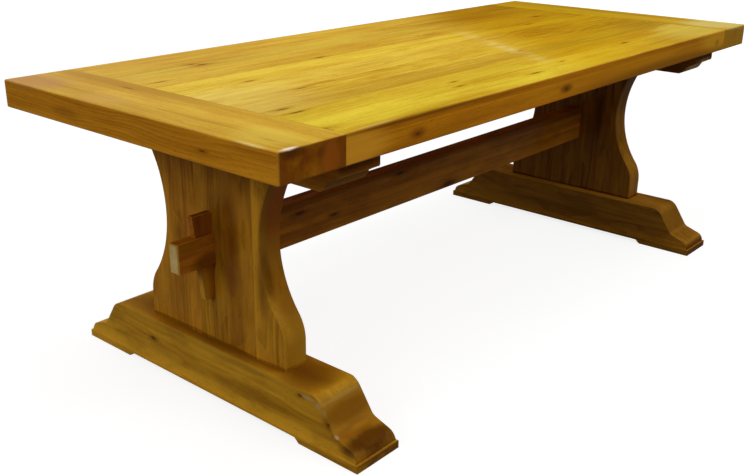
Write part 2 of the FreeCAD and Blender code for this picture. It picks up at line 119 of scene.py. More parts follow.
# A dim room with a white paper floor and a white sweep behind it, lit from overhead
studio = {
    "floorSize": 30,
    "floorColour": "#989898",
    "floorBounce": "#666666",       # what the floor gives back to the underside
    "floorGlow": 0.84,
    "floorWhite": (2.5, 7.0),       # the paper turns pure white between these distances
    "walls": 0.05,
    "ceiling": 0.46,
    "wallToCeiling": (0.15, 0.75),  # upward slope of a look at the wall's top and at the full ceiling
    # Bright sides of the room, mirrored in the table top: direction, colour, light, tightness
    "windows": [
        ((0.40, 0.90, 0.20), "#FFE6D8", 2.6, 30),
        ((0.93, 0.34, 0.13), "#FFE6B4", 1.7, 320),
    ],
    # name, place, aim, width, height, watts
    "softBoxes": [
        ("overhead", (-0.3, 0.1, 2.9), (-0.1, 0, 0.76), 2.4, 1.6, 24.5),
        ("left", (-4.6, -0.3, 2.3), (-0.8, 0, 0.4), 1.8, 1.4, 31),
        ("front", (0.5, -3.2, 3.3), (0.2, -0.4, 0.6), 2.6, 1.2, 43),
        ("lamp", (0.6, 0.3, 2.6), (-0.4, -0.2, 0.5), 0.16, 0.16, 3),
    ],
}


# Rays that meet the eye straight or through glass, and rays that gloss mirrors
def eyeRays(tree):
    path = addNode(tree, "ShaderNodeLightPath").outputs
    direct = addNode(tree, "ShaderNodeMath", {"operation": "MAXIMUM"},
                     {0: path["Is Camera Ray"], 1: path["Is Transmission Ray"]})
    return direct, path["Is Glossy Ray"]


def makeWorld():
    world = bpy.data.worlds.new("room")
    bpy.context.scene.world = world
    world.use_nodes = True
    tree = world.node_tree
    tree.nodes.clear()
    direction = addNode(tree, "ShaderNodeTexCoord").outputs["Generated"]
    height = addNode(tree, "ShaderNodeSeparateXYZ", None, {0: direction}).outputs["Z"]
    wallTop, overhead = studio["wallToCeiling"]
    room = addNode(tree, "ShaderNodeMapRange", smooth,
                   {"Value": height, "From Min": wallTop, "From Max": overhead,
                    "To Min": studio["walls"], "To Max": studio["ceiling"]})
    lit = addNode(tree, "ShaderNodeBackground", None, {"Color": white, "Strength": room})
    for aim, colour, strength, tightness in studio["windows"]:
        towards = addNode(tree, "ShaderNodeVectorMath", {"operation": "DOT_PRODUCT"},
                          {0: direction, 1: Vector(aim).normalized()}).outputs["Value"]
        facing = addNode(tree, "ShaderNodeMath", {"operation": "MAXIMUM"}, {0: towards, 1: 0.0})
        lobe = addNode(tree, "ShaderNodeMath", {"operation": "POWER"}, {0: facing, 1: tightness})
        glow = addNode(tree, "ShaderNodeMath", {"operation": "MULTIPLY"}, {0: lobe, 1: strength})
        window = addNode(tree, "ShaderNodeBackground", None, {"Color": toLinear(colour), "Strength": glow})
        lit = addNode(tree, "ShaderNodeAddShader", None, {0: lit, 1: window})

    # White to the eye and through glass, and also to gloss below eye level, where the paper hangs
    direct, glossy = eyeRays(tree)
    low = addNode(tree, "ShaderNodeMath", {"operation": "LESS_THAN"}, {0: height, 1: 0.0})
    mirrored = addNode(tree, "ShaderNodeMath", {"operation": "MULTIPLY"}, {0: glossy, 1: low})
    shown = addNode(tree, "ShaderNodeMath", {"operation": "MAXIMUM"}, {0: mirrored, 1: direct})
    paper = addNode(tree, "ShaderNodeBackground", None, {"Color": white, "Strength": 1.0})
    either = addNode(tree, "ShaderNodeMixShader", None, {0: shown, 1: lit, 2: paper})
    addNode(tree, "ShaderNodeOutputWorld", None, {"Surface": either})


# Matt white paper, whose edge is lost in the white behind it
def makeFloor():
    half = studio["floorSize"] / 2
    corners = [(-half, -half, 0), (half, -half, 0), (half, half, 0), (-half, half, 0)]
    mesh = bpy.data.meshes.new("floor")
    mesh.from_pydata(corners, [], [(0, 1, 2, 3)])
    floor = addThing("floor", mesh)
    material = newMaterial("white background paper")
    tree = material.node_tree
    direct, glossy = eyeRays(tree)
    shown = addNode(tree, "ShaderNodeMath", {"operation": "MAXIMUM"}, {0: glossy, 1: direct})
    seen = addNode(tree, "ShaderNodeBsdfDiffuse", None, {"Color": toLinear(studio["floorColour"])})
    place = addNode(tree, "ShaderNodeTexCoord").outputs["Object"]
    away = addNode(tree, "ShaderNodeVectorMath", {"operation": "LENGTH"}, {0: place}).outputs["Value"]
    near, distant = studio["floorWhite"]
    paper = addNode(tree, "ShaderNodeMapRange", smooth,
                    {"Value": away, "From Min": near, "From Max": distant,
                     "To Min": studio["floorGlow"], "To Max": 1.0})
    glow = addNode(tree, "ShaderNodeEmission", None, {"Color": white, "Strength": paper})
    bright = addNode(tree, "ShaderNodeAddShader", None, {0: seen, 1: glow})
    bounce = addNode(tree, "ShaderNodeBsdfDiffuse", None, {"Color": toLinear(studio["floorBounce"])})
    either = addNode(tree, "ShaderNodeMixShader", None, {0: shown, 1: bounce, 2: bright})
    # Open from below, so that the underside of the table can be looked at
    behind = addNode(tree, "ShaderNodeNewGeometry").outputs["Backfacing"]
    clear = addNode(tree, "ShaderNodeBsdfTransparent")
    either = addNode(tree, "ShaderNodeMixShader", None, {0: behind, 1: either, 2: clear})
    addNode(tree, "ShaderNodeOutputMaterial", None, {"Surface": either})
    mesh.materials.append(material)


def makeLamps():
    for name, place, aim, width, height, watts in studio["softBoxes"]:
        data = bpy.data.lights.new(name, "AREA")
        data.shape = "RECTANGLE"
        data.size = width
        data.size_y = height
        data.energy = watts
        lamp = addThing(name, data)
        aimed = (Vector(aim) - Vector(place)).to_track_quat("-Z", "Y")
        lamp.matrix_world = Matrix.Translation(place) @ aimed.to_matrix().to_4x4()


bpy.context.scene.view_settings.view_transform = "Standard"
makeWorld()
makeFloor()
makeLamps()
print("studio: lit")


# Oak, sawn, planed and brush-stained. The grain is drawn in the solid, so a face along the piece
# shows long figure and an end shows arcs and pores. Sizes in millimetres.
grain = {
    "ringWidth": 3.4,
    "lateWood": 0.2,                # where in a ring its dark late wood begins
    "sway": 26,                     # how far the rings wander
    "swayPerMetre": (1.1, 6, 6),    # how often they do, along and across the piece
    "swayGain": 4.0,                # brings their wandering to about 1 either way, for the bands
    "knotSpacing": (420, 150, 150),
    "knotFade": 5.5,                # turns a scattered knot's distance into the swirl's measure
    "knotFree": 9.0,                # that measure where there is no knot
    "knotSwirl": (0.1, 1.4),        # full and gone
    "knotCore": (0.15, 0.6),
    "ringsParted": 4,               # rings that a knot pushes aside
    # Width, length, detail and roughness of each layer of the figure
    "layers": {
        "tone": (110, 110 / 0.18, 3.0, 0.5),
        "streak": (14, 420, 3.0, 0.6),
        "fibre": (2.4, 150, 2.0, 0.6),      # real fibre is finer, and wouldn't show
        "pore": (1.4, 16, 1.0, 0.5),        # real pores are 0.3 wide, and wouldn't show
    },
    # What each layer adds to the darkness, and the sums at which it is none and full
    "shares": {"tone": 0.9, "streak": 0.8, "fibre": 0.28, "late": 0.16, "swirl": 0.35},
    "toneRange": (0.75, 1.55),
    "poreRange": (0.60, 0.72),
    "poreMark": 0.28,
    "coreMark": 0.72,
    "fibreRelief": 0.5,
    "cloud": (75, 75 / 0.45, 4.0, 0.62),
    "cloudRange": (0.42, 0.68),
}


# Noise drawn out along the piece, from the sizes of a layer
def drawnNoise(tree, place, width, length, detail, roughness):
    wide = 1 / (width * mm)
    laid = addNode(tree, "ShaderNodeMapping", None,
                   {"Vector": place, "Scale": (1 / (length * mm), wide, wide)})
    return addNode(tree, "ShaderNodeTexNoise", None,
                   {"Vector": laid, "Scale": 1.0, "Detail": detail, "Roughness": roughness})


def makeGrain():
    tree = bpy.data.node_groups.new("oak grain", "ShaderNodeTree")
    tree.interface.new_socket("Place", in_out="INPUT", socket_type="NodeSocketVector")
    for name in ("Knottiness", "Knot"):
        tree.interface.new_socket(name, in_out="INPUT", socket_type="NodeSocketFloat")
    for name in ("Tone", "Mark", "Height", "Sway", "Cloud"):
        tree.interface.new_socket(name, in_out="OUTPUT", socket_type="NodeSocketFloat")
    given = addNode(tree, "NodeGroupInput").outputs
    place = given["Place"]

    # Scattered knots, their distance measured as for the knots at known places
    spacing = [1 / (size * mm) for size in grain["knotSpacing"]]
    spread = addNode(tree, "ShaderNodeMapping", None, {"Vector": place, "Scale": spacing})
    cells = addNode(tree, "ShaderNodeTexVoronoi", None, {"Vector": spread, "Scale": 1.0})
    lot = addNode(tree, "ShaderNodeSeparateColor", None, {0: cells.outputs["Color"]})
    absent = addNode(tree, "ShaderNodeMath", {"operation": "GREATER_THAN"},
                     {0: lot.outputs[0], 1: given["Knottiness"]})
    scattered = addNode(tree, "ShaderNodeMath", {"operation": "MULTIPLY"},
                        {0: cells.outputs["Distance"], 1: grain["knotFade"]})
    scattered = addNode(tree, "ShaderNodeMath", {"operation": "MULTIPLY_ADD"},
                        {0: absent, 1: grain["knotFree"], 2: scattered})
    knot = addNode(tree, "ShaderNodeMath", {"operation": "MINIMUM"}, {0: scattered, 1: given["Knot"]})
    swirl, core = [addNode(tree, "ShaderNodeMapRange", smooth,
                           {"Value": knot, "From Min": full, "From Max": gone, "To Min": 1.0, "To Max": 0.0})
                   for full, gone in (grain["knotSwirl"], grain["knotCore"])]

    # Year rings about the pith, which wander and part round the knots
    slow = addNode(tree, "ShaderNodeMapping", None, {"Vector": place, "Scale": grain["swayPerMetre"]})
    sway = addNode(tree, "ShaderNodeTexNoise", None, {"Vector": slow, "Scale": 1.0, "Detail": 3.0})
    centred = addNode(tree, "ShaderNodeVectorMath", {"operation": "SUBTRACT"},
                      {0: sway.outputs["Color"], 1: (0.5, 0.5, 0.5)})
    reach = grain["sway"] * 2 * mm
    swayed = addNode(tree, "ShaderNodeVectorMath", {"operation": "MULTIPLY_ADD"},
                     {0: centred, 1: (0, reach, reach), 2: place})
    flat = addNode(tree, "ShaderNodeVectorMath", {"operation": "MULTIPLY"}, {0: swayed, 1: (0, 1, 1)})
    radius = addNode(tree, "ShaderNodeVectorMath", {"operation": "LENGTH"}, {0: flat})
    parted = addNode(tree, "ShaderNodeMath", {"operation": "MULTIPLY_ADD"},
                     {0: swirl, 1: grain["ringsParted"] * grain["ringWidth"] * mm,
                      2: radius.outputs["Value"]})
    rings = addNode(tree, "ShaderNodeMath", {"operation": "DIVIDE"},
                    {0: parted, 1: grain["ringWidth"] * mm})
    ring = addNode(tree, "ShaderNodeMath", {"operation": "FRACT"}, {0: rings})
    late = addNode(tree, "ShaderNodeMapRange", smooth,
                   {"Value": ring, "From Min": grain["lateWood"], "From Max": 1.0})

    # Broad tone, streaks, fibre and pores, which sway with the rings
    layers = {name: drawnNoise(tree, swayed, *sizes) for name, sizes in grain["layers"].items()}
    few, many = grain["poreRange"]
    pore = addNode(tree, "ShaderNodeMapRange", smooth,
                   {"Value": layers["pore"], "From Min": few, "From Max": many})
    layers.update({"late": late, "swirl": swirl})
    summed = 0.0
    for name, share in grain["shares"].items():
        summed = addNode(tree, "ShaderNodeMath", {"operation": "MULTIPLY_ADD"},
                         {0: layers[name], 1: share, 2: summed})
    pale, dark = grain["toneRange"]
    depth = addNode(tree, "ShaderNodeMapRange", smooth,
                    {"Value": summed, "From Min": pale, "From Max": dark})

    # Dark marks are pores and the hearts of knots; the relief stands on late wood and sinks in pores
    speck = addNode(tree, "ShaderNodeMath", {"operation": "MULTIPLY"}, {0: pore, 1: grain["poreMark"]})
    heart = addNode(tree, "ShaderNodeMath", {"operation": "MULTIPLY"}, {0: core, 1: grain["coreMark"]})
    mark = addNode(tree, "ShaderNodeMath", {"operation": "MAXIMUM"}, {0: speck, 1: heart})
    relief = addNode(tree, "ShaderNodeMath", {"operation": "MULTIPLY_ADD"},
                     {0: layers["fibre"], 1: grain["fibreRelief"], 2: late})
    relief = addNode(tree, "ShaderNodeMath", {"operation": "SUBTRACT"}, {0: relief, 1: pore})
    wander = addNode(tree, "ShaderNodeSeparateXYZ", None, {0: centred}).outputs["Y"]
    wander = addNode(tree, "ShaderNodeMath", {"operation": "MULTIPLY"}, {0: wander, 1: grain["swayGain"]})

    # Clouds where the brush left the stain thicker
    brushed = drawnNoise(tree, place, *grain["cloud"])
    thin, thick = grain["cloudRange"]
    cloud = addNode(tree, "ShaderNodeMapRange", smooth,
                    {"Value": brushed, "From Min": thin, "From Max": thick})
    addNode(tree, "NodeGroupOutput", None,
            {"Tone": depth, "Mark": mark, "Height": relief, "Sway": wander, "Cloud": cloud})
    return tree


grainTree = makeGrain()

# Turns the piece's own length to the pattern's x
grainTurns = {"X": (0, 0, 0), "Y": (0, 0, -math.pi / 2), "Z": (0, math.pi / 2, 0)}

# Painted light on the top, on a slant across the boards: the near side of the line is painted paler (a
# painted light pool), and a painted reflection streak runs along it; millimetres
paintedLightLine = {
    "across": (1, -0.54, 0),
    "start": 40,
    "end": 420,
    "paintedReflectionAt": 195,
    "paintedReflectionHalf": 48,
    "paintedReflectionMiddle": -120,    # strongest here across the table
    "paintedReflectionReach": 380,      # and gone this far from there
    "paintedReflection": 0.42,
    "paintedReflectionColour": "#E6D690",
}


# The colour of a face that lies upwards, paler than the sides (partly faded, partly painted top light), and
# paler still on the near side of the slanting line, a painted light pool
def paintedLightFace(tree, paint, place, tone, cloud):
    sheenLit = addNode(tree, "ShaderNodeMix", colourMix,
                    {0: tone, 6: paint["faceLight"], 7: paint["faceDark"]}).outputs[2]
    sheenless = addNode(tree, "ShaderNodeMix", colourMix,
                    {0: tone, 6: paint["farLight"], 7: paint["farDark"]}).outputs[2]
    across = addNode(tree, "ShaderNodeVectorMath", {"operation": "DOT_PRODUCT"},
                     {0: place, 1: paintedLightLine["across"]}).outputs["Value"]
    far = addNode(tree, "ShaderNodeMapRange", smooth,
                  {"Value": across, "From Min": paintedLightLine["start"] * mm, "From Max": paintedLightLine["end"] * mm})
    litFace = addNode(tree, "ShaderNodeMix", colourMix, {0: far, 6: sheenLit, 7: sheenless}).outputs[2]

    # A painted reflection streak along the line, broken where the stain is clouded
    onward = addNode(tree, "ShaderNodeSeparateXYZ", None, {0: place}).outputs["Y"]
    paintedReflection = addNode(tree, "ShaderNodeMath", {"operation": "SUBTRACT"}, {0: 1.0, 1: cloud})
    for where, middle, reach, strength in ((across, "paintedReflectionAt", "paintedReflectionHalf", paintedLightLine["paintedReflection"]),
                                           (onward, "paintedReflectionMiddle", "paintedReflectionReach", 1.0)):
        off = addNode(tree, "ShaderNodeMath", {"operation": "SUBTRACT"}, {0: where, 1: paintedLightLine[middle] * mm})
        off = addNode(tree, "ShaderNodeMath", {"operation": "ABSOLUTE"}, {0: off})
        near = addNode(tree, "ShaderNodeMapRange", smooth,
                       {"Value": off, "From Min": 0.0, "From Max": paintedLightLine[reach] * mm,
                        "To Min": strength, "To Max": 0.0})
        paintedReflection = addNode(tree, "ShaderNodeMath", {"operation": "MULTIPLY"}, {0: paintedReflection, 1: near})
    return addNode(tree, "ShaderNodeMix", colourMix,
                   {0: paintedReflection, 6: litFace, 7: toLinear(paintedLightLine["paintedReflectionColour"])}).outputs[2]


# How far a place is from a knot's or a spot's middle: 1 at its edge
def spotDistance(tree, place, middle, reach):
    away = addNode(tree, "ShaderNodeVectorMath", {"operation": "SUBTRACT"},
                   {0: place, 1: [value * mm for value in middle]})
    scaled = addNode(tree, "ShaderNodeVectorMath", {"operation": "DIVIDE"},
                     {0: away, 1: [value * mm for value in reach]})
    return addNode(tree, "ShaderNodeVectorMath", {"operation": "LENGTH"}, {0: scaled}).outputs["Value"]


# How stain, varnish and hands have treated all the oak
oak = {
    # Metres that a seed of 1 shifts the figure, and the span it stays in: along, beside, below
    "pithSteps": ((3.17, 7), (0.037, 0.07), (0.053, 0.07)),
    "pithBeside": 0.05,
    "pithBelow": 0.10,
    "bandWander": 0.8,          # in half widths of the band, as its edge is
    "bandEdge": (0.6, 1.4),     # full and gone
    "faceSlope": (0.3, 0.95),   # upward part of the normal where the top's face begins and is full
    "sideVarnish": 0.35,        # the sides of the top are varnished thinner than its face
    "endSlope": (0.35, 0.9),    # the normal's part along the grain, squared
    "endStain": 0.85,
    "arrisSlope": (0.8, 0.97),  # the normal's largest part, from a rounded arris to a flat side
    "spotRagged": 0.35,
    "spotEdge": (0.55, 1.35),   # full and gone
    "relief": 0.3,              # share of the depth that shows
    "reliefDepth": 0.2,         # mm
    "sheen": (0.34, 0.5),       # roughness of the pale and the dark wood under the varnish
    "coatRoughness": 0.18,
    "coatBend": 1.5,            # refractive index of the varnish
}


# Oak under a brushed stain and gloss varnish: warm, streaky, its arrises and grazing views shine
def makeOak(name, piece):
    material = newMaterial(name)
    tree = material.node_tree
    paint = {key: toLinear(value) for key, value in piece.items() if str(value).startswith("#")}
    coordinates = addNode(tree, "ShaderNodeTexCoord")
    place = coordinates.outputs["Object"]
    normal = coordinates.outputs["Normal"]
    # The pith lies outside the piece, below or beside it
    along, beside, below = [piece["seed"] * step % span for step, span in oak["pithSteps"]]
    board = addNode(tree, "ShaderNodeMapping", None,
                    {"Vector": place, "Rotation": grainTurns[piece["grain"]],
                     "Location": (along, oak["pithBeside"] + beside, -oak["pithBelow"] - below)})

    # Knots that stand at a known place, each a spindle along the grain: place and reach
    nearest = grain["knotFree"]
    for knotPlace, reach in piece.get("knots", []):
        distance = spotDistance(tree, place, knotPlace, reach)
        nearest = addNode(tree, "ShaderNodeMath", {"operation": "MINIMUM"}, {0: nearest, 1: distance})
    figure = addNode(tree, "ShaderNodeGroup", {"node_tree": grainTree},
                     {"Place": board, "Knottiness": piece["knottiness"], "Knot": nearest}).outputs

    # Darker or paler bands where the heartwood or the sapwood comes out, and bands of painted shade: axis,
    # middle, half width, amount
    axes = addNode(tree, "ShaderNodeSeparateXYZ", None, {0: place}).outputs
    tone = figure["Tone"]
    inner, outer = oak["bandEdge"]
    for axis, middle, half, amount in piece.get("bands", []):
        off = addNode(tree, "ShaderNodeMath", {"operation": "SUBTRACT"}, {0: axes[axis], 1: middle * mm})
        wandering = addNode(tree, "ShaderNodeMath", {"operation": "MULTIPLY_ADD"},
                            {0: figure["Sway"], 1: half * oak["bandWander"] * mm, 2: off})
        far = addNode(tree, "ShaderNodeMath", {"operation": "ABSOLUTE"}, {0: wandering})
        band = addNode(tree, "ShaderNodeMapRange", smooth,
                       {"Value": far, "From Min": half * inner * mm, "From Max": half * outer * mm,
                        "To Min": amount, "To Max": 0.0})
        tone = addNode(tree, "ShaderNodeMath", {"operation": "ADD"}, {0: tone, 1: band})

    gloss = piece["varnish"]
    shade = addNode(tree, "ShaderNodeMix", colourMix,
                    {0: tone, 6: paint["light"], 7: paint["dark"]}).outputs[2]
    # Upward faces take paler colours than the sides: partly faded, partly painted top light
    if "faceLight" in piece:
        up = addNode(tree, "ShaderNodeSeparateXYZ", None, {0: normal}).outputs["Z"]
        edge, face = oak["faceSlope"]
        upward = addNode(tree, "ShaderNodeMapRange", None, {"Value": up, "From Min": edge, "From Max": face})
        gloss = addNode(tree, "ShaderNodeMapRange", None,
                        {"Value": upward, "To Min": oak["sideVarnish"] * gloss, "To Max": gloss})
        # The upward face's colour, which carries the painted light pool and the painted reflection streak
        litFace = paintedLightFace(tree, paint, place, tone, figure["Cloud"])
        shade = addNode(tree, "ShaderNodeMix", colourMix, {0: upward, 6: shade, 7: litFace}).outputs[2]

    # The stain is redder where the brush left it thicker
    blushed = addNode(tree, "ShaderNodeMath", {"operation": "MULTIPLY"},
                      {0: figure["Cloud"], 1: piece["blushAmount"]})
    shade = addNode(tree, "ShaderNodeMix", colourMix, {0: blushed, 6: shade, 7: paint["blush"]}).outputs[2]

    # End grain drinks more stain; the stretcher's pale end colours are a painted reflection on its tusk ends
    lengthwise = [float(axis == piece["grain"]) for axis in "XYZ"]
    facing = addNode(tree, "ShaderNodeVectorMath", {"operation": "DOT_PRODUCT"},
                     {0: normal, 1: lengthwise}).outputs["Value"]
    square = addNode(tree, "ShaderNodeMath", {"operation": "MULTIPLY"}, {0: facing, 1: facing})
    side, end = oak["endSlope"]
    ended = addNode(tree, "ShaderNodeMapRange", None, {"Value": square, "From Min": side, "From Max": end})
    stained = addNode(tree, "ShaderNodeMath", {"operation": "MULTIPLY"}, {0: ended, 1: oak["endStain"]})
    drunk = addNode(tree, "ShaderNodeMix", colourMix,
                    {0: figure["Cloud"], 6: paint["endDark"],
                     7: paint.get("endLight", paint["dark"])}).outputs[2]
    shade = addNode(tree, "ShaderNodeMix", colourMix, {0: stained, 6: shade, 7: drunk}).outputs[2]

    # Rounded arrises and slanting faces are paler: partly rubbed by hands and dusters, partly a painted
    # highlight
    sides = addNode(tree, "ShaderNodeVectorMath", {"operation": "ABSOLUTE"}, {0: normal})
    sides = addNode(tree, "ShaderNodeSeparateXYZ", None, {0: sides}).outputs
    largest = addNode(tree, "ShaderNodeMath", {"operation": "MAXIMUM"}, {0: sides["X"], 1: sides["Y"]})
    largest = addNode(tree, "ShaderNodeMath", {"operation": "MAXIMUM"}, {0: largest, 1: sides["Z"]})
    arris, flat = oak["arrisSlope"]
    rubbedAndHighlit = addNode(tree, "ShaderNodeMapRange", None,
                   {"Value": largest, "From Min": arris, "From Max": flat,
                    "To Min": piece["arrisPaling"], "To Max": 0.0})
    shade = addNode(tree, "ShaderNodeMix", colourMix, {0: rubbedAndHighlit, 6: shade, 7: paint["rubbedAndHighlitPale"]}).outputs[2]
    shade = addNode(tree, "ShaderNodeMix", colourMix,
                    {0: figure["Mark"], 6: shade, 7: paint["knotDark"]}).outputs[2]

    # Spots of stain and scuffs, and of painted shade, light, highlight and reflection: place, reach, colour,
    # amount
    full, gone = oak["spotEdge"]
    for spotPlace, reach, colour, amount in piece.get("spots", []):
        distance = spotDistance(tree, place, spotPlace, reach)
        ragged = addNode(tree, "ShaderNodeMath", {"operation": "MULTIPLY_ADD"},
                         {0: figure["Tone"], 1: oak["spotRagged"], 2: distance})
        spot = addNode(tree, "ShaderNodeMapRange", smooth,
                       {"Value": ragged, "From Min": full, "From Max": gone,
                        "To Min": amount, "To Max": 0.0})
        shade = addNode(tree, "ShaderNodeMix", colourMix,
                        {0: spot, 6: shade, 7: toLinear(colour)}).outputs[2]

    bump = addNode(tree, "ShaderNodeBump", None,
                   {"Strength": oak["relief"], "Distance": oak["reliefDepth"] * mm,
                    "Height": figure["Height"]})
    pale, dark = oak["sheen"]
    sheen = addNode(tree, "ShaderNodeMapRange", None,
                    {"Value": figure["Tone"], "To Min": pale, "To Max": dark})
    surface = addNode(tree, "ShaderNodeBsdfPrincipled", None,
                      {"Base Color": shade, "Roughness": sheen, "Specular IOR Level": 0.0, "Normal": bump,
                       "Coat Weight": gloss, "Coat Roughness": oak["coatRoughness"],
                       "Coat IOR": oak["coatBend"]})
    addNode(tree, "ShaderNodeOutputMaterial", None, {"Surface": surface})
    return material


# The top: boards numbered from the back. Faces are a paler straw gold than the brown edges: partly faded,
# partly painted top light.
topFinish = {"grain": "X", "light": "#EE9C1A", "dark": "#AE6206",
             "endDark": "#7A3806", "knotDark": "#4A2C10",
             "faceLight": "#DDC23A", "faceDark": "#B88A18", "farLight": "#CCA216", "farDark": "#9E6808",
             "blush": "#C07814", "blushAmount": 0.2, "rubbedAndHighlitPale": "#D8A848", "arrisPaling": 0.3, "varnish": 0.08,
             "knottiness": 0.12}
# A painted sheen: the near-left part of the top is painted paler
sheenLitPatch = ((-910, -120, 765), (260, 150, 12), "#E6D27A", 0.24)
topBoards = {
    1: {"faceLight": "#DDB640", "faceDark": "#B4801A", "farLight": "#BC8C12", "farDark": "#905A08"},
    2: {"faceLight": "#DBBC44", "faceDark": "#B4821E", "farLight": "#C29212", "farDark": "#945E08",
        "knots": [((-673, 283, 765), (45, 13, 26)), ((-690, 305, 765), (35, 9, 18))]},
    3: {"faceLight": "#DCB840", "faceDark": "#B6841C", "farLight": "#C69A14", "farDark": "#986208",
        "knots": [((-378, 136, 765), (40, 10, 20)), ((-887, 178, 765), (45, 7, 14)),
                  ((771, 155, 765), (50, 11, 22))]},
    4: {"faceLight": "#E8CA44", "faceDark": "#C0901E",
        "knots": [((-732, 34, 765), (45, 9, 18)), ((585, 70, 765), (35, 8, 16))]},
    # Boards 5 to 8 take the painted sheen patch
    5: {"faceLight": "#E4C448", "faceDark": "#BC8E22",
        "spots": [sheenLitPatch, ((20, -40, 765), (150, 60, 12), "#C0901A", 0.4)]},
    6: {"faceLight": "#E2C240", "faceDark": "#B88A1E", "knots": [((-703, -114, 765), (40, 7, 14))],
        "spots": [sheenLitPatch, ((-60, -110, 765), (150, 50, 12), "#C0901A", 0.35)]},
    7: {"faceLight": "#D2AE38", "faceDark": "#A87C1A", "farLight": "#C8A01A", "farDark": "#9A700C",
        "spots": [sheenLitPatch],
        "knots": [((-885, -239, 765), (45, 11, 22)), ((100, -205, 765), (30, 6, 12))]},
    8: {"faceLight": "#D8BA34", "faceDark": "#B08416",
        "knots": [((-880, -280, 765), (55, 9, 18)), ((-395, -330, 765), (30, 8, 16))],
        # The pale spot at the far right end is a painted reflection
        "spots": [sheenLitPatch, ((920, -335, 765), (190, 80, 12), "#E0CE58", 0.5)]},
    9: {"faceLight": "#E3CA3C", "faceDark": "#BA9018", "farLight": "#D8B222", "farDark": "#AC7A10",
        "bands": [("Z", 757, 8, 0.3), ("Z", 745, 1.2, -0.6)],
        "knots": [((-423, -370, 765), (30, 7, 14)), ((451, -355, 765), (40, 11, 22)),
                  ((39, -378, 765), (30, 7, 14)), ((-156, -415, 765), (50, 9, 18)),
                  ((-98, -475, 724), (26, 20, 11)), ((-717, -475, 722), (22, 20, 9))],
        # The first spot, pale at the far right end, is a painted reflection
        "spots": [((900, -400, 765), (280, 110, 10), "#E0CE58", 0.45),
                  # A painted highlight along the front arris
                  ((-850, -470, 767), (90, 9, 5), "#F0DC90", 0.3),
                  ((-925, -475, 724), (130, 12, 60), "#FFB434", 0.72),
                  # A band of painted shade just under the front arris
                  ((-740, -475, 762), (330, 9, 7), "#6E4008", 0.6),
                  ((600, -475, 724), (900, 9, 40), "#C4860C", 0.5),
                  # Painted light on the far end of the front edge
                  ((880, -475, 738), (160, 12, 44), "#E8AC28", 0.65),
                  ((520, -475, 698), (620, 12, 30), "#744408", 0.6),
                  ((-98, -475, 725), (34, 9, 13), "#5A320A", 0.6),
                  ((-717, -475, 724), (34, 9, 15), "#7E420C", 0.5),
                  ((885, -475, 728), (22, 9, 12), "#7A4A10", 0.4)]},
}

# Each seed shifts the figure, so that no two boards are alike
seedPerBoard = 1.9
for number, board in topBoards.items():
    piece = {**topFinish, "seed": number * seedPerBoard, **board}
    dress("top_board_%d" % number, makeOak("varnished oak, top board %d" % number, piece))

endFinish = {**topFinish, "grain": "Y", "faceLight": "#D8B03C", "faceDark": "#AC7A18"}
endBoards = {
    "left": {"seed": 21.3, "light": "#F0A224", "dark": "#B26A0C",
             "knots": [((-980, 176, 765), (8, 45, 16)), ((-1076, -398, 765), (7, 30, 14)),
                       ((-1125, -262, 727), (16, 20, 5))],
             "bands": [("X", -972, 34, 0.12), ("X", -1028, 16, -0.3)],
             # The first two spots are painted sheen, pinkish, on the left end
             "spots": [((-1080, 400, 765), (75, 130, 12), "#B4804E", 0.6),
                       ((-1085, 120, 765), (50, 90, 12), "#D8B074", 0.15),
                       ((-962, 230, 765), (34, 330, 12), "#A87820", 0.55),
                       ((-1125, 215, 728), (12, 60, 12), "#6E3C12", 0.3),
                       # Painted sheen on the near front of the left end
                       ((-1060, -380, 765), (60, 110, 12), "#DEC44E", 0.5),
                       # Painted shade just under the front arris
                       ((-1085, -475, 756), (40, 9, 14), "#3C1C06", 0.55),
                       ((-1010, -475, 744), (16, 9, 14), "#4A2408", 0.4),
                       ((-985, -475, 724), (26, 12, 44), "#B46018", 0.7),
                       # Painted highlights on the near corner and along the left arris
                       ((-1092, -471, 766), (27, 7, 6), "#F4E8D0", 0.9),
                       ((-1122, -400, 766), (7, 50, 5), "#F0DC90", 0.5)]},
    "right": {"seed": 25.1, "endDark": "#AC7A18", "endLight": "#B4881E",
              "farLight": "#D4AC1E", "farDark": "#A4740C",
              "knots": [((980, 176, 765), (8, 45, 16)), ((1125, -269, 726), (16, 34, 7))],
              "bands": [("X", 966, 30, 0.05)],
              # A painted reflection at the front corner
              "spots": [((1055, -400, 765), (110, 120, 12), "#E6DC88", 0.5)]},
}
for side, board in endBoards.items():
    dress("end_board_" + side, makeOak("varnished oak, %s end board" % side, {**endFinish, **board}))
print("top: varnished")


# The trestles are stained browner than the top, without its paler upward faces
trestleFinish = {"light": "#D8982A", "dark": "#90560E", "endDark": "#6A3408", "knotDark": "#3A200C",
                 "blush": "#8E4E10", "rubbedAndHighlitPale": "#C89838", "arrisPaling": 0.35, "varnish": 0.05, "knottiness": 0.3,
                 "blushAmount": 0.35}
# The far trestle, under the top, is given darker colours than the near one: painted shade
shadedFarTrestle = {"light": "#B47A20", "dark": "#6C3E0A", "blush": "#6A3A0C", "arrisPaling": 0.2}

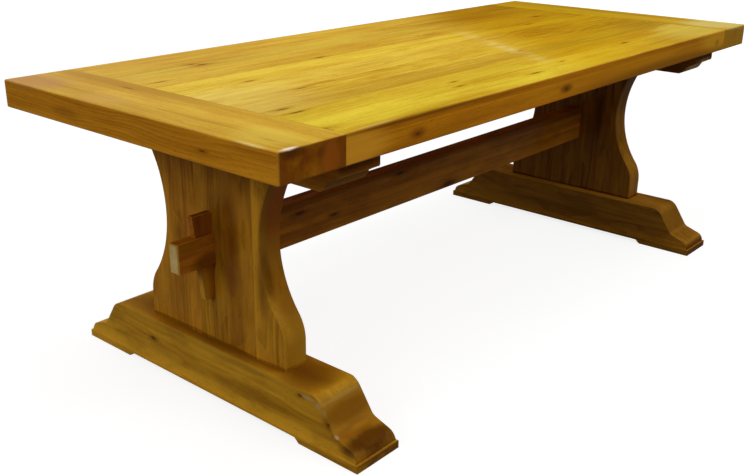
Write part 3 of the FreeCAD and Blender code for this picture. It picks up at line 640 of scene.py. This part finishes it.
staveTones = [{"light": "#EEAA2C", "dark": "#A66C12", "bands": [("Y", -145, 24, -0.3)],
               # Painted shade and light on the post's front edge: dark down its middle, redder at the top,
               # golden at the bottom
               "spots": [((-850, -190, 400), (46, 90, 330), "#804408", 0.55),
                         ((-893, -178, 350), (20, 26, 110), "#582A08", 0.6),
                         ((-850, -195, 540), (46, 60, 130), "#DC7A24", 0.75),
                         ((-850, -245, 190), (50, 40, 80), "#B88C24", 0.4)]},
              {"light": "#DC9826", "dark": "#925A0C", "bands": [("Y", -84, 24, 0.3)],
               # Painted shadow of the tusk and wedge on the post
               "spots": [((-904, -62, 430), (12, 40, 150), "#6E2C0A", 0.6)]},
              {"light": "#DC9A26", "dark": "#94600E", "bands": [("Y", -10, 16, 0.25)],
               # Painted shadow of the tusk and wedge, and below it painted light that lifts the wedge's cast
               # shadow
               "spots": [((-904, -40, 430), (12, 30, 140), "#5C2808", 0.5),
                         ((-904, -24, 290), (12, 30, 80), "#D89C28", 0.4)]},
              # The bands at 570 on the last two staves are painted shade under the top
              {"light": "#E0982A", "dark": "#9A6010", "bands": [("Y", 62, 20, -0.2), ("Z", 570, 70, 0.4)]},
              {"light": "#E49E2A", "dark": "#A06812", "bands": [("Z", 570, 70, 0.4)]}]
# Painted shade: a dark line where the post meets its foot, and darker under the top
postFootShade = [("Z", 145, 5, 0.7), ("Z", 650, 80, 0.3)]

# Spots on the near foot: painted shade on its upward faces under the table, painted highlights on its
# arrises, and darker tone
footShadeHighlightsAndTone = [
    # Painted shade on the toe's upward shelf
    ((-869, -476, 42), (110, 40, 24), "#5A2C0A", 0.92),
    ((-869, -506, 20), (110, 9, 8), "#7A4A14", 0.7),
    ((-869, -412, 94), (110, 24, 36), "#8A500A", 0.7),
    # Painted shade on the foot's top and on the toe's ledge, under the table
    ((-869, -300, 146), (110, 75, 9), "#743808", 0.55),
    ((-869, 0, 146), (80, 480, 9), "#6C3406", 0.8),
    ((-869, -440, 60), (110, 24, 12), "#8A4A0C", 0.6),
    # Painted highlights along the crest and the arrises
    ((-869, -392, 124), (90, 6, 6), "#C8A050", 0.4),
    ((-935, -350, 129), (6, 26, 5), "#D8BE94", 0.6),
    ((-935, -384, 121), (7, 9, 9), "#D8BE94", 0.5),
    ((-935, -402, 108), (5, 9, 14), "#C8A468", 0.4),
    ((-935, -438, 61), (9, 9, 6), "#D8BE94", 0.6),
    ((-934, 0, 132), (8, 420, 9), "#B88A28", 0.4),
]

trestle = {
    "foot_left": ("Y", {"light": "#F6B62E", "dark": "#B67A12", "bands": [("Z", 30, 13, -0.6)],
                        "spots": footShadeHighlightsAndTone,
                        "knots": [((-934, 220, 86), (14, 26, 12)), ((-934, -326, 126), (14, 18, 8)),
                                  ((-934, -414, 84), (12, 12, 12)), ((-834, -397, 98), (12, 14, 14))]}),
    # The far foot and bearer take the far trestle's darker colours, painted shade
    "foot_right": ("Y", {**shadedFarTrestle, "bands": [("Z", 32, 12, -0.3)]}),
    "bearer_left": ("Y", {"light": "#E89C34", "dark": "#A05C16", "varnish": 0.02}),
    "bearer_right": ("Y", {**shadedFarTrestle, "varnish": 0.02,
                           # A painted light on the far bearer's end
                           "spots": [((890, -410, 640), (80, 46, 50), "#FFCE80", 0.8)]}),
    # The pale end colours paint the gloss reflection on the tusk ends; the dark band at 438 is painted shade
    # under the top
    "stretcher": ("X", {"light": "#F49E2C", "dark": "#A66214", "endDark": "#F2DA94", "endLight": "#DCB868",
                        "bands": [("Z", 438, 9, 0.6), ("Z", 385, 7, -0.4)],
                        "knots": [((-220, -28, 432), (50, 14, 14)), ((-630, -28, 415), (45, 14, 12)),
                                  ((-500, -28, 378), (40, 14, 10))],
                        # A painted light on the tusk's shaded side, and painted shade below it by the post
                        "spots": [((-990, -17, 422), (50, 14, 26), "#C8861C", 0.55),
                                  ((-925, -17, 368), (50, 14, 26), "#5A2808", 0.6)]}),
    "wedge_left": ("Z", {"light": "#CC7C24", "dark": "#864412",
                         # A painted light on the wedge's lower part
                         "spots": [((-944, 0, 286), (40, 20, 84), "#E4A830", 0.85)]}),
    "wedge_right": ("Z", {"light": "#A8681A", "dark": "#6A360A"}),
}
for side in ("left", "right"):
    for number, tones in enumerate(staveTones, 1):
        # Every stave takes the painted shade at its foot and under the top
        change = {**tones, "bands": tones.get("bands", []) + postFootShade}
        # The far staves take the far trestle's darker colours, painted shade
        if side == "right":
            change = {**shadedFarTrestle, "bands": change["bands"]}
        trestle["post_stave_%s_%d" % (side, number)] = ("Z", change)

seed = 31.0
seedStep = 2.3
for name, (direction, change) in trestle.items():
    seed += seedStep
    piece = {**trestleFinish, "grain": direction, "seed": seed, **change}
    dress(name, makeOak("stained oak, " + name.replace("_", " "), piece))
print("trestles: stained")


# Tongues and pegs inside the joints: oak as it left the plane, pale and matt
bareFinish = {"light": "#D8B680", "dark": "#B08A54", "endDark": "#94703E", "knotDark": "#6A4A28",
              "blush": "#C09A62", "rubbedAndHighlitPale": "#E0C498", "arrisPaling": 0.2, "varnish": 0.0, "knottiness": 0.05,
              "blushAmount": 0.35}
for name, direction in (("board_splines", "X"), ("end_board_pegs_left", "Z"), ("end_board_pegs_right", "Z")):
    seed += seedStep
    piece = {**bareFinish, "grain": direction, "seed": seed}
    dress(name, makeOak("planed oak, " + name.replace("_", " "), piece))
print("tongues and pegs: bare")


# Zinc-plated steel, rolled and tumbled: a cool shine, clouded where the plating dulled
zincPlate = {
    "bright": "#C4C7C9",
    "dulled": "#8B9196",
    "cloudWidth": 3,            # mm
    "tumblingMarks": 0.4,
    "markDepth": 0.05,
    "relief": 0.25,
    "roughness": (0.24, 0.52),
}


def makeZinc():
    material = newMaterial("zinc-plated steel")
    tree = material.node_tree
    place = addNode(tree, "ShaderNodeTexCoord").outputs["Object"]
    cloud = addNode(tree, "ShaderNodeTexNoise", None,
                    {"Vector": place, "Scale": 1 / (zincPlate["cloudWidth"] * mm), "Detail": 3.0})
    fine = addNode(tree, "ShaderNodeTexNoise", None,
                   {"Vector": place, "Scale": 1 / (zincPlate["tumblingMarks"] * mm), "Detail": 2.0})
    colour = addNode(tree, "ShaderNodeMix", colourMix,
                     {0: cloud, 6: toLinear(zincPlate["bright"]),
                      7: toLinear(zincPlate["dulled"])}).outputs[2]
    smoothest, roughest = zincPlate["roughness"]
    roughness = addNode(tree, "ShaderNodeMapRange", None,
                        {"Value": cloud, "To Min": smoothest, "To Max": roughest})
    bump = addNode(tree, "ShaderNodeBump", None,
                   {"Strength": zincPlate["relief"], "Distance": zincPlate["markDepth"] * mm,
                    "Height": fine})
    surface = addNode(tree, "ShaderNodeBsdfPrincipled", None,
                      {"Base Color": colour, "Metallic": 1.0, "Roughness": roughness, "Normal": bump})
    addNode(tree, "ShaderNodeOutputMaterial", None, {"Surface": surface})
    return material


# Coach screws from below: a hexagon head on a washer, a plain neck, a rolled thread and a point
coachScrew = {
    "Head across corners": 15.6,
    "Head height": 4.4,
    "Washer width": 19,
    "Washer thickness": 1.4,
    "Neck width": 8,
    "Neck length": 32,
    "Core width": 6,
    "Thread pitch": 3.2,
    "Thread height": 1.0,
    "Point length": 9,
}
screwDrawing = {
    "headSides": 36,
    "shankSides": 24,
    "threadSteps": 20,          # to a turn
    "crownWidth": 0.84,         # of the head's width across corners
    "crownTaper": 0.86,
    "crownHeight": 0.2,         # mm
    "tipRadius": 0.1,           # mm
    "turnSeed": 7,
}
# Millimetres: the middle of a trestle, the seats of the screws into the top and into the post
screwPlaces = {
    "trestle": 869,
    "topSeat": 646,
    "besideTrestle": 48,
    "footSeat": 32,
    "besidePost": 100.05,
}
ends = (-screwPlaces["trestle"], screwPlaces["trestle"])
topSeats = ((1, 285.0), (-1, 181.5), (1, -224.2), (-1, -306.4))    # side of the trestle, place across
screwSets = {
    "coach_screws_top": {
        "nodes": ("top_screws_left", "top_screws_right"),
        "length": 90,
        "places": [(end + side * screwPlaces["besideTrestle"], across, screwPlaces["topSeat"])
                   for end in ends for side, across in topSeats],
    },
    "coach_screws_feet": {
        "nodes": ("foot_screws_left", "foot_screws_right"),
        "length": 91,
        "places": [(end, side * screwPlaces["besidePost"], screwPlaces["footSeat"])
                   for end in ends for side in (-1, 1)],
    },
}


def makeScrewTree():
    tree = bpy.data.node_groups.new("coach screws", "GeometryNodeTree")
    tree.interface.new_socket("Seats", in_out="INPUT", socket_type="NodeSocketGeometry")
    for name in (*coachScrew, "Length"):
        tree.interface.new_socket(name, in_out="INPUT", socket_type="NodeSocketFloat")
    tree.interface.new_socket("Finish", in_out="INPUT", socket_type="NodeSocketMaterial")
    tree.interface.new_socket("Screws", in_out="OUTPUT", socket_type="NodeSocketGeometry")
    given = addNode(tree, "NodeGroupInput").outputs

    halves = {}
    for name in ("Head across corners", "Head height", "Washer width", "Washer thickness",
                 "Neck width", "Neck length", "Core width"):
        halves[name] = addNode(tree, "ShaderNodeMath", {"operation": "MULTIPLY"}, {0: given[name], 1: 0.5})

    # Washer and head hang below the seat, z = 0
    washer = addNode(tree, "GeometryNodeMeshCylinder", None,
                     {"Vertices": screwDrawing["headSides"], "Radius": halves["Washer width"],
                      "Depth": given["Washer thickness"]})
    head = addNode(tree, "GeometryNodeMeshCylinder", None,
                   {"Vertices": 6, "Radius": halves["Head across corners"], "Depth": given["Head height"]})
    headMiddle = addNode(tree, "ShaderNodeMath", {"operation": "ADD"},
                         {0: halves["Head height"], 1: given["Washer thickness"]})

    # The turned crown, which takes the corners off the hexagon's face
    wide = addNode(tree, "ShaderNodeMath", {"operation": "MULTIPLY"},
                   {0: halves["Head across corners"], 1: screwDrawing["crownWidth"]})
    narrow = addNode(tree, "ShaderNodeMath", {"operation": "MULTIPLY"},
                     {0: wide, 1: screwDrawing["crownTaper"]})
    crownHeight = screwDrawing["crownHeight"] * mm
    crown = addNode(tree, "GeometryNodeMeshCone", None,
                    {"Vertices": screwDrawing["headSides"], "Radius Top": wide, "Radius Bottom": narrow,
                     "Depth": crownHeight})
    headFace = addNode(tree, "ShaderNodeMath", {"operation": "ADD"},
                       {0: given["Head height"], 1: given["Washer thickness"]})
    crownFace = addNode(tree, "ShaderNodeMath", {"operation": "ADD"}, {0: headFace, 1: crownHeight})

    # The neck goes up from the seat, and the core from the neck to the point
    neck = addNode(tree, "GeometryNodeMeshCylinder", None,
                   {"Vertices": screwDrawing["shankSides"], "Radius": halves["Neck width"],
                    "Depth": given["Neck length"]})
    coreEnd = addNode(tree, "ShaderNodeMath", {"operation": "SUBTRACT"},
                      {0: given["Length"], 1: given["Point length"]})
    coreLength = addNode(tree, "ShaderNodeMath", {"operation": "SUBTRACT"},
                         {0: coreEnd, 1: given["Neck length"]})
    core = addNode(tree, "GeometryNodeMeshCylinder", None,
                   {"Vertices": screwDrawing["shankSides"], "Radius": halves["Core width"],
                    "Depth": coreLength})
    coreMiddle = addNode(tree, "ShaderNodeMath", {"operation": "MULTIPLY_ADD"},
                         {0: coreLength, 1: 0.5, 2: given["Neck length"]})
    point = addNode(tree, "GeometryNodeMeshCone", None,
                    {"Vertices": screwDrawing["shankSides"], "Radius Top": screwDrawing["tipRadius"] * mm,
                     "Radius Bottom": halves["Core width"], "Depth": given["Point length"]})

    # The thread is a spiral of triangular section wound round the core
    turns = addNode(tree, "ShaderNodeMath", {"operation": "DIVIDE"},
                    {0: coreLength, 1: given["Thread pitch"]})
    spiral = addNode(tree, "GeometryNodeCurveSpiral", None,
                     {"Resolution": screwDrawing["threadSteps"], "Rotations": turns,
                      "Start Radius": halves["Core width"], "End Radius": halves["Core width"],
                      "Height": coreLength})
    ridge = addNode(tree, "GeometryNodeCurvePrimitiveCircle", None,
                    {"Resolution": 3, "Radius": given["Thread height"]})
    thread = addNode(tree, "GeometryNodeCurveToMesh", None,
                     {"Curve": spiral, "Profile Curve": ridge, "Fill Caps": True})

    heights = []
    for part, drop in ((washer, halves["Washer thickness"]), (head, headMiddle), (crown, crownFace)):
        below = addNode(tree, "ShaderNodeMath", {"operation": "MULTIPLY"}, {0: drop, 1: -1.0})
        heights.append((part, below))
    heights += [(neck, halves["Neck length"]), (core, coreMiddle), (point, coreEnd),
                (thread, given["Neck length"])]
    screw = addNode(tree, "GeometryNodeJoinGeometry")
    for part, height in heights:
        at = addNode(tree, "ShaderNodeCombineXYZ", None, {"Z": height})
        placed = addNode(tree, "GeometryNodeTransform", None, {"Geometry": part, "Translation": at})
        tree.links.new(placed.outputs[0], screw.inputs[0])

    # Each head stops at its own turn, within the sixth of a circle after which a hexagon repeats
    turned = addNode(tree, "FunctionNodeRandomValue", {"data_type": "FLOAT"},
                     {"Min": 0.0, "Max": math.pi / 3, "Seed": screwDrawing["turnSeed"]})
    turn = addNode(tree, "ShaderNodeCombineXYZ", None, {"Z": turned.outputs[1]})
    driven = addNode(tree, "GeometryNodeInstanceOnPoints", None,
                     {"Points": given["Seats"], "Instance": screw, "Rotation": turn})
    plain = addNode(tree, "GeometryNodeRealizeInstances", None, {"Geometry": driven})
    finished = addNode(tree, "GeometryNodeSetMaterial", None,
                       {"Geometry": plain, "Material": given["Finish"]})
    addNode(tree, "NodeGroupOutput", None, {"Screws": finished})
    return tree


screwTree = makeScrewTree()
zinc = makeZinc()
for name, screws in screwSets.items():
    seats = bpy.data.meshes.new(name + "_seats")
    seats.from_pydata([[value * mm for value in seat] for seat in screws["places"]], [], [])
    piece = addThing(name, seats)
    modifier = piece.modifiers.new("screws", "NODES")
    modifier.node_group = screwTree
    sizes = {**coachScrew, "Length": screws["length"]}
    for socket in screwTree.interface.items_tree:
        if socket.name in sizes:
            modifier[socket.identifier] = sizes[socket.name] * mm
        if socket.name == "Finish":
            modifier[socket.identifier] = zinc
    evaluated = piece.evaluated_get(bpy.context.evaluated_depsgraph_get())
    solid = bpy.data.meshes.new_from_object(evaluated)
    piece.modifiers.remove(modifier)
    piece.data = solid
    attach(piece, "table")
    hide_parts(*screws["nodes"])
    print("%s: %d faces" % (name, len(solid.polygons)))
